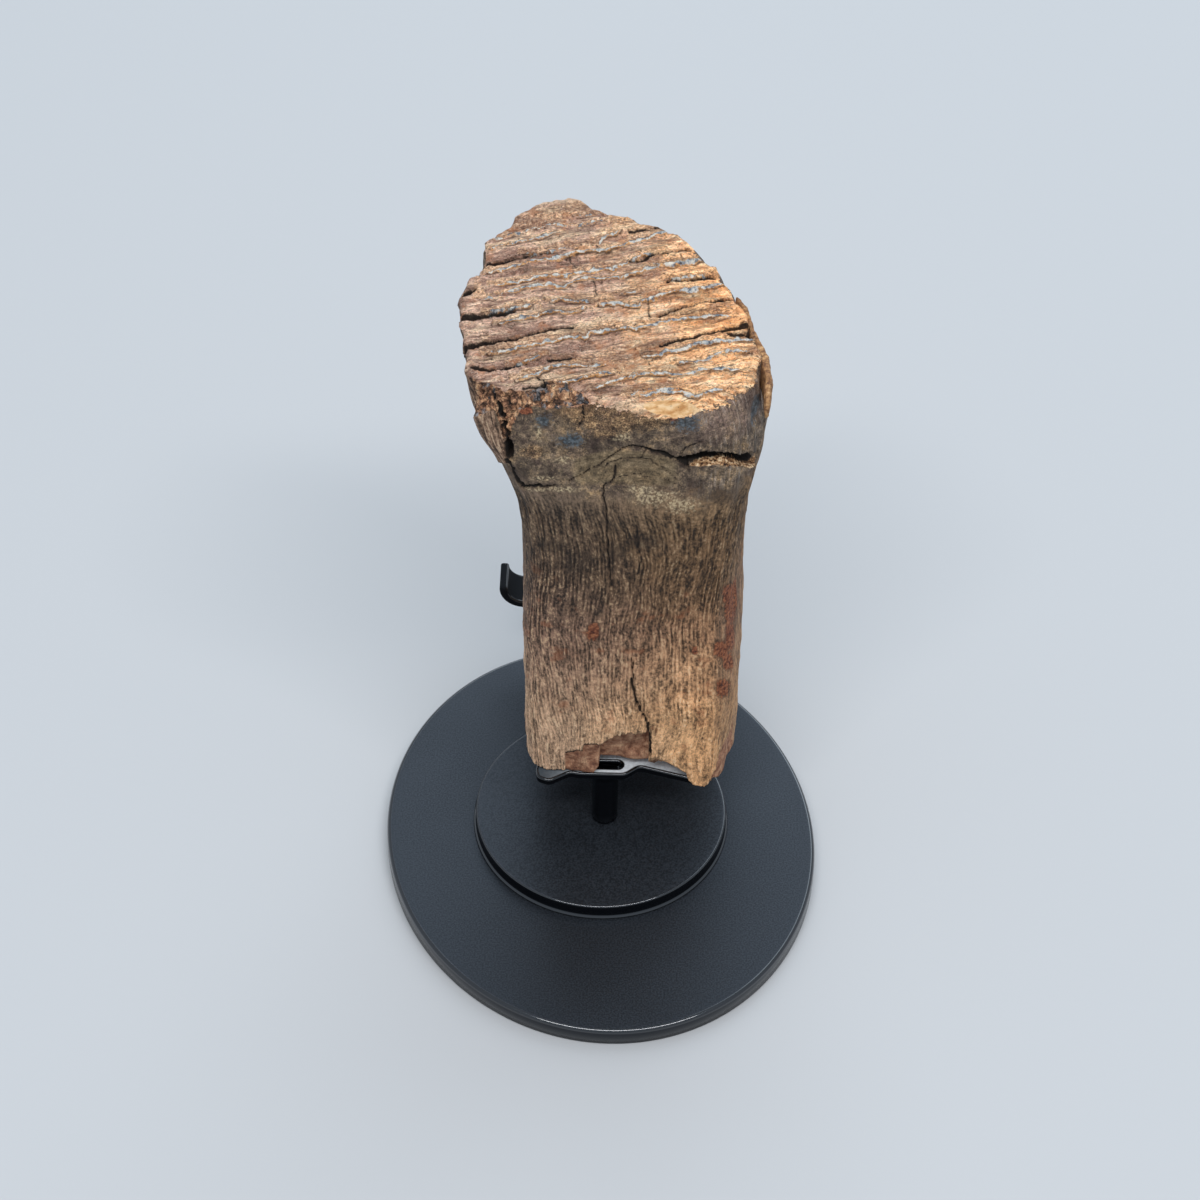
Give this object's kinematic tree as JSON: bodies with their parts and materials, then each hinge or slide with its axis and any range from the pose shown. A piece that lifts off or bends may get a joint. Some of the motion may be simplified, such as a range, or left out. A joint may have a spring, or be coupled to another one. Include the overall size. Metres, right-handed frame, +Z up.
{
  "type": "fossil mammoth tooth on a display stand",
  "caption": "Fossil mammoth molar standing upright, worn chewing surface on top, on a black metal stand with an oval base, round riser, post and bent cradle.",
  "frame": {"origin": "middle of the oval base's flat underside", "axes": "+Z up; the tooth's end plate, the face seen from the front, looks along -Y; +X is to the right of someone facing that plate"},
  "size_m": [0.153, 0.1793, 0.2305],
  "materials": {
    "satin_black": "fine-grained satin black powder coat",
    "gloss_black": "smooth semi-gloss black paint",
    "fossil_tooth": "dry brown mineralised dentine and cement with pale enamel ridges, striated sides and cracks"
  },
  "bodies": {
    "root": {"base_disc": "satin_black", "riser_disc": "satin_black", "post": "gloss_black", "cradle_plate": "gloss_black", "tooth": "fossil_tooth"}
  },
  "joints": []
}
